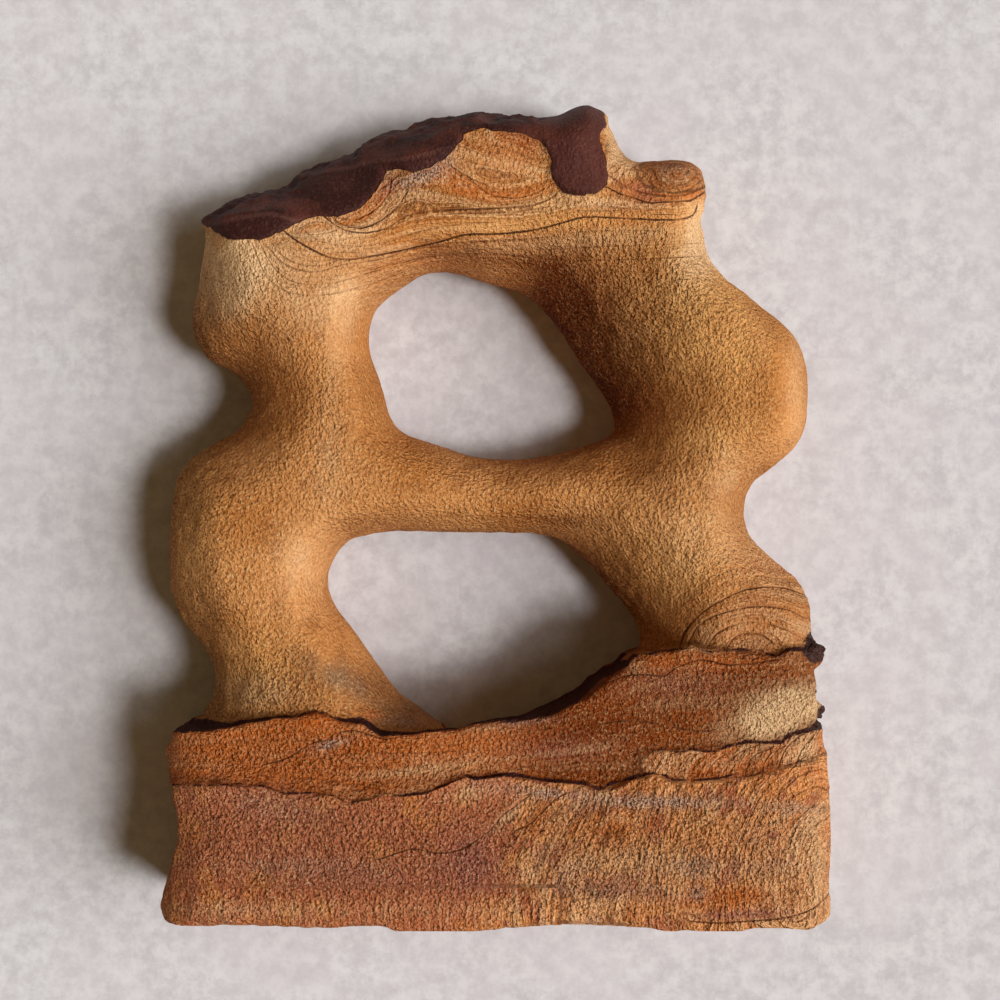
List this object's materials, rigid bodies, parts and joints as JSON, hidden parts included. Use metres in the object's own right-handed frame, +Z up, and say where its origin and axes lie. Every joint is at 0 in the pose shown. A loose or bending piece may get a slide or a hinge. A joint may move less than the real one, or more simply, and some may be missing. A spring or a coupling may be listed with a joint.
{
  "type": "sandstone arch",
  "caption": "Slab of banded sandstone worn through by two rounded windows, on a rough square foot with a sawn base. It lies on its back, and can stand on the foot.",
  "frame": {"origin": "middle of the plan, on the surface that the arch's back lies on", "axes": "+Y from the sawn foot to the crown, +Z up out of the face, +X to the right of the face with the crown at the top"},
  "size_m": [0.1802, 0.2218, 0.0546],
  "materials": {
    "sandstone": "matte, fine sandy grain"
  },
  "bodies": {
    "root": {"sandstone_arch": "sandstone"}
  },
  "joints": []
}
